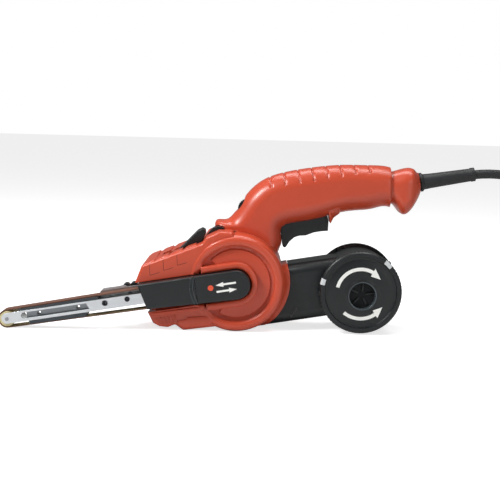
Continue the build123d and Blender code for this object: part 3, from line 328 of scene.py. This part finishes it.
def flat_marks(outlines, y, lift=0.03, sunk=0.02):
    """Closed thin plates from outlines in X and Z, standing proud of y by lift."""
    shape = bmesh.new()
    for outline in outlines:
        add_slab(shape, outline, y - lift, y + sunk)
    bmesh.ops.triangulate(shape, faces=[face for face in shape.faces if len(face.verts) > 4])
    return shape


GRIP_FACE_Y, GRIP_PITCH, GRIP_SLOPE = -43.0, 12.6, atan2(11.2, 54.0)
SEAM_WIDTH = 0.4
seams = []
for step in range(3):
    along = 6.5 + GRIP_PITCH * step
    top_x = -78.0 + along * cos(GRIP_SLOPE)
    top_z = 27.4 + along * sin(GRIP_SLOPE)
    foot = (top_x - 0.4, top_z - 10.6)
    down = [(top_x + 0.4, top_z - 1.4), (top_x, top_z - 6), (foot[0], foot[1] + 1), foot]
    back_along = [foot, (foot[0] + 4, foot[1] + 0.5), (foot[0] + 8.5, foot[1] + 1.2)]
    seams += [strip(down, SEAM_WIDTH), strip(back_along, SEAM_WIDTH)]
seam_mesh = from_bmesh("grip_seams", flat_marks(seams, GRIP_FACE_Y), TOOL, 20.0)
grip_seams = place_piece("grip_seams", seam_mesh, "tool", seam_shadow)

# ------------------------------------------------------------------ black mouldings
# Belt covers, tension lever, trigger, speed wheel, tracking knob and dust unit are
# glass-filled nylon, moulded in a blue-black, with a duller and coarser grain than ABS.
black_nylon = moulded_plastic("blue_black_nylon", "#0C1416", "#090F11", 0.38, 0.45, 0.4, 0.5)
for node, body in (
    ("front_shroud", "tool"), ("drive_cover", "tool"), ("tension_lever", "lever"),
    ("lever_catch", "tool"), ("trigger", "trigger_lever"), ("speed_dial", "dial"),
    ("tracking_knob", "tracking"), ("dust_duct", "dust_unit"), ("dust_canister", "dust_unit"),
    ("canister_cap", "dust_cap"),
):
    refinish(node, body, black_nylon, 30.0)
finish_nodes(black_nylon, "switch_plunger", "cord_clamp", "brush_holders", "fan", "switch_body", "brushes")

# ------------------------------------------------------------------ sliding arm
# The arm's side plates and the tracking bracket are pressed from zinc-plated sheet steel,
# brushed along their length before plating, so the light runs in fine lines along them.
def metal(name, colour, roughness, stretch, scale, depth):
    """Bare or plated metal with drawn lines; a larger stretch along an axis packs them closer."""
    material = bpy.data.materials.new(name)
    material.use_nodes = True
    tree = material.node_tree
    shader = tree.nodes["Principled BSDF"]
    place = add(tree, "ShaderNodeTexCoord").outputs["Object"]
    level = add(tree, "ShaderNodeMapping", {"Vector": place, "Rotation": (0, tilt, 0)})
    drawn = add(tree, "ShaderNodeMapping", {"Vector": level.outputs[0], "Scale": stretch})
    lines = add(tree, "ShaderNodeTexNoise", {"Vector": drawn.outputs[0], "Scale": scale, "Detail": 4.0})
    band = {0: lines.outputs[0], 3: roughness - 0.08, 4: roughness + 0.12}
    polish = add(tree, "ShaderNodeMapRange", band)
    edge = add(tree, "ShaderNodeBevel", {"Radius": 0.25 * MM}, samples=4)
    relief = {"Strength": depth, "Distance": 0.02 * MM, "Height": lines.outputs[0]}
    bump = add(tree, "ShaderNodeBump", {**relief, "Normal": edge.outputs[0]})
    shader.inputs["Base Color"].default_value = linear(colour)
    shader.inputs["Metallic"].default_value = 1.0
    tree.links.new(polish.outputs[0], shader.inputs["Roughness"])
    tree.links.new(bump.outputs[0], shader.inputs["Normal"])
    return material


plated_steel = metal("brushed_zinc_plated_steel", "#D9DCDF", 0.30, (1, 1, 14), 120, 0.4)
for node in ("arm_plate_near", "arm_plate_far", "tracking_bracket", "lever_link"):
    refinish(node, "arm", plated_steel, 30.0)
drawn_aluminium = metal("drawn_aluminium", "#8E9296", 0.42, (1, 1, 10), 160, 0.4)
refinish("guide_bar", "tool", drawn_aluminium, 30.0)
turned_steel = metal("turned_steel", "#9A9CA0", 0.28, (1, 30, 1), 200, 0.3)
finish_nodes(
    turned_steel, "nose_axle", "guide_screws", "lever_pin", "trigger_pin",
    "motor_shaft", "tension_spring", "plunger_spring", "brush_springs", "case_screws",
    "clamp_screws", "tracking_screw", "front_bearing_outer", "front_bearing_inner",
    "rear_bearing_outer", "rear_bearing_inner", "plug_pins",
)
blackened_steel = metal("blackened_steel", "#34363A", 0.4, (1, 1, 1), 300, 0.2)
finish_nodes(blackened_steel, "guide_pin")
laminated_iron = metal("laminated_iron", "#54565A", 0.5, (1, 40, 1), 60, 0.8)
finish_nodes(laminated_iron, "armature_core", "stator_core")
enamelled_copper = metal("enamelled_copper_wire", "#B2643A", 0.35, (1, 20, 1), 90, 0.9)
finish_nodes(enamelled_copper, "armature_windings", "field_coils", "commutator")

# ------------------------------------------------------------------ platens and rollers
# The two platens are steel strips with a slate powder coat; the rollers are turned from
# cream nylon; the filter cup is pleated charcoal felt.
slate_paint = moulded_plastic("slate_powder_coat", "#2F363B", "#293035", 0.42, 0.6, 0.4, 0.3)
finish_nodes(slate_paint, "upper_platen", "lower_platen")
cream_nylon = moulded_plastic("cream_nylon", "#D8CB9B", "#CFC190", 0.40, 0.8, 0.2, 0.3)
finish_nodes(cream_nylon, "nose_roller", "drive_roller")
filter_felt = moulded_plastic("charcoal_filter_felt", "#2A2C2E", "#1C1E20", 0.9, 0.9, 1.0, 0.2)
finish_nodes(filter_felt, "filter_cup")
board_green = moulded_plastic("green_circuit_board", "#1E5B3A", "#1A5034", 0.4, 0.6, 0.3, 0.2)
finish_nodes(board_green, "speed_board")

# ------------------------------------------------------------------ belt
# An endless 13 mm belt of aluminium-oxide grit on a cotton-cloth backing.  The grit is
# brown and rough; the backing, seen on the inside and the edges, is pale yellow cloth.
oxide_grit = moulded_plastic("brown_oxide_grit", "#7A5240", "#4A2E24", 0.85, 0.3, 1.0, 0.1)
backing_cloth = moulded_plastic("pale_backing_cloth", "#C9B787", "#B5A274", 0.9, 0.4, 0.8, 0.1)
belt_mesh = clean_copy("belt")
belt_mesh.materials.append(backing_cloth)
belt_mesh.materials.append(oxide_grit)
to_tool = TOOL.inverted()
nose_x = (to_tool @ nose).x
for polygon in belt_mesh.polygons:
    place = to_tool @ polygon.center
    normal = (to_tool.to_3x3() @ polygon.normal).normalized()
    spine = Vector((min(max(place.x, nose_x), 0.0), place.y, 0.0))
    outward = (place - spine).normalized()
    polygon.material_index = 0 if normal.dot(outward) < -0.5 else 1
belt_piece = bpy.data.objects.new("sanding_belt", belt_mesh)
bpy.context.collection.objects.link(belt_piece)
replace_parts(belt_piece, "belt")
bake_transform(belt_piece)

# ------------------------------------------------------------------ cord guard, cord and plug
# The guard is a tapered rubber sleeve clamped in the handle's end.  The mains lead is a
# round rubber cable, 8.2 mm thick; the length that is not in use is wound and tied, and the
# moulded plug lies beside the coil.
black_rubber = moulded_plastic("black_rubber", "#1A1C1E", "#151719", 0.55, 0.7, 0.5, 0.4)
finish_nodes(black_rubber, "inner_lead", "dust_seal", "cable_tie")
refinish("cord_guard", "tool", black_rubber)
refinish("plug_body", "tool", black_rubber)

CORD_RADIUS, CORD_LENGTH = 4.1, 2.0
coil_low, coil_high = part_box("cord_coil")
coil_middle = (coil_low + coil_high) / 2
outer_turn = (coil_high.y - coil_low.y) / (2 * MM) - CORD_RADIUS
inner_turn = outer_turn - 2 * CORD_RADIUS
exit_point = TOOL @ Vector((212.0, 0.0, 59.8))
far_y = coil_high.y / MM - CORD_RADIUS
coil_x, coil_y = coil_middle.x / MM, coil_middle.y / MM
floor_layer = coil_low.z / MM + CORD_RADIUS
bend = TOOL @ Vector((240.0, 0.0, 59.8))
route = [
    tuple(v / MM for v in exit_point), tuple(v / MM for v in bend), (256.3, -1.25, 133.2),
    (288.1, -3.0, 101.4), (303.6, -8.0, 53.9), (328.0, -14.0, 24.8), (360.9, -18.5, 10.1),
]
TURNS, STEPS = 5.5, 20
LAYER = 2 * CORD_RADIUS
# wound from the floor up: out and in on each layer, the climb spread over a quarter turn
for step in range(int(TURNS * STEPS) + 1):
    turned = step / STEPS
    angle = -pi / 2 + 2 * pi * turned
    layer = min(turned / (TURNS - 0.5) * 3 - 0.5, 2.0)
    height = floor_layer + LAYER * max(0.0, min(2.0, layer))
    swing = (1 - cos(pi * min(max(turned - 0.25, 0.0), 5.0) / 1.0)) / 2
    radius = outer_turn + (inner_turn - outer_turn) * swing
    route.append((coil_x + radius * cos(angle), coil_y + radius * sin(angle), height))
route += [(372.0, far_y, 21.2), (352.0, far_y, 18.6), (334.0, far_y, 18.6)]
curve = bpy.data.curves.new("mains_lead", "CURVE")
curve.dimensions = "3D"
curve.bevel_depth = CORD_RADIUS * MM
curve.bevel_resolution = 5
curve.resolution_u = 6
curve.use_fill_caps = True
spline = curve.splines.new("NURBS")
spline.points.add(len(route) - 1)
for point, place in zip(spline.points, route):
    point.co = (*(v * MM for v in place), 1.0)
spline.order_u = 3
spline.use_endpoint_u = True
lead = bpy.data.objects.new("mains_lead", curve)
bpy.context.collection.objects.link(lead)
curve.materials.append(black_rubber)
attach(lead, "tool")
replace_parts(lead, "cord_tube", "cord_coil", "cord_tail")

# ------------------------------------------------------------------ dust unit's small parts
# Round the canister's cap: a fine-ribbed rim for the hand, moulded in the same nylon, two
# pale patches on the rim that are painted highlights at the bayonet lugs, and a dark sleeve in the hose
# port.
CAP_RADIUS, CAP_FACE_Y, RIM_Y = 35.4, -43.0, -44.0
can_middle = to_tool @ middle("dust_canister")
cap_centre = (can_middle.x, can_middle.z)


def repeated(name, shape, count, turn, pivot, step=(0.0, 0.0, 0.0), material=None):
    """Repeats a small mesh by Geometry Nodes: each copy is turned about Y through the pivot and
    moved by the step, both given in the tool's frame.  Gives back one plain mesh."""
    seed_mesh = bpy.data.meshes.new(name + "_single")
    shape.to_mesh(seed_mesh)
    shape.free()
    single = bpy.data.objects.new(name + "_single", seed_mesh)
    bpy.context.collection.objects.link(single)
    tree = bpy.data.node_groups.new(name + "_pattern", "GeometryNodeTree")
    for label, kind in (
        ("Piece", "NodeSocketGeometry"), ("Count", "NodeSocketInt"), ("Step", "NodeSocketVector"),
        ("Turn", "NodeSocketFloat"), ("Pivot", "NodeSocketVector"), ("Finish", "NodeSocketMaterial"),
    ):
        tree.interface.new_socket(label, in_out="INPUT", socket_type=kind)
    tree.interface.new_socket("Pattern", in_out="OUTPUT", socket_type="NodeSocketGeometry")
    given = add(tree, "NodeGroupInput").outputs
    line = {"Count": given["Count"], "Offset": given["Step"]}
    row = add(tree, "GeometryNodeMeshLine", line, mode="OFFSET")
    copies = {"Points": row.outputs[0], "Instance": given["Piece"]}
    placed = add(tree, "GeometryNodeInstanceOnPoints", copies)
    number = add(tree, "GeometryNodeInputIndex").outputs[0]
    angle = add(tree, "ShaderNodeMath", {0: number, 1: given["Turn"]}, operation="MULTIPLY")
    about_y = add(tree, "ShaderNodeCombineXYZ", {"Y": angle.outputs[0]})
    spin = {"Instances": placed.outputs[0], "Rotation": about_y.outputs[0], "Pivot Point": given["Pivot"]}
    turned = add(tree, "GeometryNodeRotateInstances", spin)
    turned.inputs["Local Space"].default_value = False
    real = add(tree, "GeometryNodeRealizeInstances", {0: turned.outputs[0]})
    finish = {"Geometry": real.outputs[0], "Material": given["Finish"]}
    coated = add(tree, "GeometryNodeSetMaterial", finish)
    add(tree, "NodeGroupOutput", {0: coated.outputs[0]})
    modifier = single.modifiers.new("pattern", "NODES")
    modifier.node_group = tree
    values = {"Count": count, "Step": step, "Turn": turn, "Pivot": pivot, "Finish": material}
    for socket in tree.interface.items_tree:
        if socket.in_out == "INPUT" and socket.name in values:
            modifier[socket.identifier] = values[socket.name]
    bpy.context.view_layer.update()
    evaluated = single.evaluated_get(bpy.context.evaluated_depsgraph_get())
    mesh = bpy.data.meshes.new_from_object(evaluated)
    bpy.data.objects.remove(single)
    mesh.transform(TOOL)
    mesh.name = name
    mesh.shade_smooth()
    mesh.set_sharp_from_angle(angle=radians(40))
    return mesh


def rounded_block(low, high, radius, segments=2):
    """A block between two corners, in millimetres, with its edges rounded."""
    shape = bmesh.new()
    bmesh.ops.create_cube(shape, size=1.0)
    for vert in shape.verts:
        vert.co = Vector([low[k] + (vert.co[k] + 0.5) * (high[k] - low[k]) for k in range(3)])
    bmesh.ops.bevel(
        shape, geom=list(shape.edges), offset=radius, segments=segments, affect="EDGES", profile=0.5,
    )
    return shape


RIM_RIBS = 72
pivot = (cap_centre[0], 0.0, cap_centre[1])
rib = rounded_block(
    (cap_centre[0] + CAP_RADIUS - 0.5, CAP_FACE_Y + 1.2, cap_centre[1] - 0.45),
    (cap_centre[0] + CAP_RADIUS + 0.35, CAP_FACE_Y + 7.0, cap_centre[1] + 0.45), 0.2, 1,
)
rim_mesh = repeated("cap_rim_ribs", rib, RIM_RIBS, 2 * pi / RIM_RIBS, pivot, material=black_nylon)
place_piece("cap_rim_ribs", rim_mesh, "dust_cap")

# painted highlights: near-white patches on the cap's rim where light catches the bayonet lugs
latch_highlight_paint = moulded_plastic("painted_latch_highlight", "#D9DCDD", "#C8CCCE", 0.35, 0.6, 0.2, 0.2)
tab_profile = [
    (CAP_RADIUS - 3.4, RIM_Y - 0.2), (CAP_RADIUS - 1.0, RIM_Y - 0.25),
    (CAP_RADIUS + 0.2, RIM_Y + 0.9), (CAP_RADIUS + 0.4, RIM_Y + 4.5),
    (CAP_RADIUS - 0.2, RIM_Y + 4.5), (CAP_RADIUS - 0.8, RIM_Y + 1.2),
    (CAP_RADIUS - 3.4, RIM_Y + 0.4),
]
for name, angle, half in (("latch_highlight_right", 38, 6.0), ("latch_highlight_left", 155, 4.5)):
    tab_mesh = lathe(
        name, tab_profile, cap_centre, segments=12,
        from_angle=radians(angle - half), to_angle=radians(angle + half),
    )
    tab = place_piece(name, tab_mesh, "dust_cap", latch_highlight_paint)

PORT_RADIUS, PORT_DROP = 12.3, 3.0
port_centre = (cap_centre[0] + 1.0, cap_centre[1] - PORT_DROP)
# Mid grey nylon for the hose port's rim; on the drive cover's seam the same grey is a painted highlight.
grey_rim_and_seam_highlight = moulded_plastic("grey_rim_and_painted_seam_highlight", "#4A5357", "#3B4347", 0.25, 0.6, 0.1, 0.2)
sleeve_profile = [
    (PORT_RADIUS - 0.9, CAP_FACE_Y - 0.45), (PORT_RADIUS - 0.2, CAP_FACE_Y - 0.75),
    (PORT_RADIUS + 0.9, CAP_FACE_Y - 0.6), (PORT_RADIUS + 1.3, CAP_FACE_Y - 0.1),
    (PORT_RADIUS + 1.3, CAP_FACE_Y + 0.4), (PORT_RADIUS + 0.3, CAP_FACE_Y + 0.4),
    (PORT_RADIUS - 0.05, CAP_FACE_Y + 0.4), (PORT_RADIUS - 0.4, CAP_FACE_Y + 6.0),
    (PORT_RADIUS - 1.0, CAP_FACE_Y + 6.0),
]
sleeve = place_piece(
    "port_rim", lathe("port_rim", sleeve_profile, port_centre, segments=96), "dust_cap", grey_rim_and_seam_highlight,
)
baffle = rounded_block(
    (port_centre[0] + 3.2, CAP_FACE_Y + 6.5, port_centre[1] - 0.8),
    (port_centre[0] + PORT_RADIUS - 0.8, CAP_FACE_Y + 12.5, port_centre[1] + 0.8), 0.3,
)
port_pivot = (port_centre[0], 0.0, port_centre[1])
baffle_mesh = repeated("port_baffles", baffle, 5, 2 * pi / 5, port_pivot, material=black_nylon)
place_piece("port_baffles", baffle_mesh, "dust_unit")

# a raised double arrow on the duct's side: the way it pulls off
emblem = [
    (42.0, -38.6), (45.6, -38.6), (44.7, -37.0), (48.3, -32.9), (50.0, -33.6), (50.2, -29.9),
    (46.6, -30.1), (47.4, -31.7), (43.8, -35.8), (42.1, -35.0),
]
emblem_shape = flat_marks([emblem], -30.0, lift=0.5, sunk=0.3)
emblem_mesh = from_bmesh("duct_emblem", emblem_shape, TOOL, 20.0)
deep_black = moulded_plastic("glossy_black_insert", "#0B0E10", "#080A0C", 0.22, 0.6, 0.1, 0.2)
place_piece("duct_emblem", emblem_mesh, "dust_unit", deep_black)

# ------------------------------------------------------------------ printed marks
# White pad-printed marks: two arrows round the dust canister's cap that show which way it
# turns, and on the drive cover an orange spot with two short arrows along the belt's run.
def printed_ink(name, colour):
    """Opaque matt pad-printing ink, a little uneven where the film is thin."""
    material = bpy.data.materials.new(name)
    material.use_nodes = True
    tree = material.node_tree
    shader = tree.nodes["Principled BSDF"]
    place = add(tree, "ShaderNodeTexCoord").outputs["Object"]
    film = add(tree, "ShaderNodeTexNoise", {"Vector": place, "Scale": 900.0, "Detail": 2.0})
    band = {0: film.outputs[0], 3: 0.45, 4: 0.65}
    polish = add(tree, "ShaderNodeMapRange", band)
    tree.links.new(polish.outputs[0], shader.inputs["Roughness"])
    shader.inputs["Base Color"].default_value = linear(colour)
    return material


def printed(name, outlines, y, body, ink):
    """Flat marks drawn as outlines in the tool's X and Z, a film's thickness proud of y."""
    return place_piece(name, from_bmesh(name, flat_marks(outlines, y), TOOL, 20.0), body, ink)


def curved_arrow(centre, radius, width, from_angle, to_angle, steps=28):
    """A band along an arc that ends in an arrowhead."""
    head = 9.0 / radius * (1 if to_angle > from_angle else -1)
    neck = to_angle - head

    def at(angle, r):
        return (centre[0] + r * cos(angle), centre[1] + r * sin(angle))

    angles = [from_angle + (neck - from_angle) * i / steps for i in range(steps + 1)]
    outer = [at(angle, radius + width / 2) for angle in angles]
    inner = [at(angle, radius - width / 2) for angle in reversed(angles)]
    barb = [at(neck, radius + width * 1.3), at(to_angle, radius), at(neck, radius - width * 1.3)]
    return outer + barb + inner


white_ink = printed_ink("white_pad_print", "#F2F2EE")
orange_ink = printed_ink("orange_pad_print", "#E0512E")
arrows = [
    curved_arrow(cap_centre, 20.5, 3.0, radians(158), radians(26)),
    curved_arrow(cap_centre, 22.5, 3.0, radians(-138), radians(-42)),
]
printed("cap_marks", arrows, CAP_FACE_Y - 0.15, "dust_cap", white_ink)
COVER_FACE_Y = -54.5


def straight_arrow(tip, length, width):
    """An arrow along X whose sign of length says which way it points."""
    x, z = tip
    neck = x - length * 0.38
    return [
        tip, (neck, z + width), (neck, z + width * 0.4), (x - length, z + width * 0.4),
        (x - length, z - width * 0.4), (neck, z - width * 0.4), (neck, z - width),
    ]


belt_arrows = [straight_arrow((-17.0, 2.8), -17.5, 2.1), straight_arrow((0.5, -2.8), 17.5, 2.1)]
printed("belt_arrows", belt_arrows, COVER_FACE_Y, "tool", white_ink)
# two pale strips along the drive cover's curved seam: a painted highlight where light catches the seam's
# edges
seam_bow = [(-34.2 - 2.4 * sin(pi * i / 16), 12.0 - 23.4 * i / 16) for i in range(17)]
seam_bows = [strip([(x - shift, z) for x, z in seam_bow], 0.5) for shift in (0.0, 2.6)]
seam_mesh = from_bmesh("cover_seam", flat_marks(seam_bows, COVER_FACE_Y), TOOL, 20.0)
place_piece("cover_seam", seam_mesh, "tool", grey_rim_and_seam_highlight)
spot = [(-21.5 + 2.4 * cos(2 * pi * i / 40), 1.2 + 2.4 * sin(2 * pi * i / 40)) for i in range(40)]
printed("cover_spot", [spot], COVER_FACE_Y, "tool", orange_ink)

# ------------------------------------------------------------------ floor, light and camera
# A pale floor and large soft lights from above and both sides, as in a product studio.
floor_mesh = bpy.data.meshes.new("studio_floor")
floor_mesh.from_pydata([(-6, -6, 0), (6, -6, 0), (6, 9, 0), (-6, 9, 0)], [], [(0, 1, 2, 3)])
floor = bpy.data.objects.new("studio_floor", floor_mesh)
bpy.context.collection.objects.link(floor)
floor_paint = bpy.data.materials.new("pale_floor_paint")
floor_paint.use_nodes = True
floor_shader = floor_paint.node_tree.nodes["Principled BSDF"]
floor_shader.inputs["Base Color"].default_value = linear("#D6D6D6")
floor_shader.inputs["Roughness"].default_value = 0.7
floor_shader.inputs["Emission Color"].default_value = linear("#FFFFFF")
floor_ray = add(floor_paint.node_tree, "ShaderNodeLightPath").outputs["Is Camera Ray"]
floor_glow = add(floor_paint.node_tree, "ShaderNodeMapRange", {0: floor_ray, 3: 0.0, 4: 0.72})
floor_paint.node_tree.links.new(floor_glow.outputs[0], floor_shader.inputs["Emission Strength"])
floor_mesh.materials.append(floor_paint)

world = bpy.data.worlds.new("studio")
world.use_nodes = True
sky = world.node_tree
sky_ray = add(sky, "ShaderNodeLightPath").outputs["Is Camera Ray"]
brightness = add(sky, "ShaderNodeMapRange", {0: sky_ray, 3: 0.2, 4: 1.0})
backdrop = sky.nodes["Background"]
backdrop.inputs[0].default_value = linear("#FFFFFF")
sky.links.new(brightness.outputs[0], backdrop.inputs[1])
bpy.context.scene.world = world
bpy.context.scene.view_settings.view_transform = "Standard"


def soft_light(name, place, target, width, height, watts):
    """A rectangular area light that faces the target."""
    light = bpy.data.lights.new(name, "AREA")
    light.shape = "RECTANGLE"
    light.size, light.size_y = width, height
    light.energy = watts
    lamp = bpy.data.objects.new(name, light)
    lamp.location = place
    lamp.rotation_euler = (Vector(target) - Vector(place)).to_track_quat("-Z", "Y").to_euler()
    bpy.context.collection.objects.link(lamp)


soft_light("key_light", (-0.7, -0.5, 0.85), (0, 0, 0.06), 0.35, 0.35, 12)
soft_light("top_light", (0.1, 0.1, 1.1), (0, 0, 0.06), 1.2, 0.3, 8)
soft_light("fill_light", (0.7, -1.0, 0.35), (0, 0, 0.06), 0.5, 0.5, 1.6)

ELEVATION, ROLL, DISTANCE = radians(7.0), radians(1.49), 0.95
target = Vector((motor.x + 11.4 * MM, origin.y, motor.z + 24.3 * MM))
back = Vector((-sin(ELEVATION) * sin(ROLL), -cos(ELEVATION), sin(ELEVATION) * cos(ROLL)))
camera_data = bpy.data.cameras.new("camera")
camera_data.sensor_width = 36.0
camera_data.lens = 76.2
camera = bpy.data.objects.new("camera", camera_data)
camera.location = target + back * DISTANCE
upright = back.to_track_quat("Z", "Y").to_matrix()
camera.rotation_euler = (upright @ Matrix.Rotation(ROLL, 3, "Z")).to_euler()
bpy.context.collection.objects.link(camera)
bpy.context.scene.camera = camera
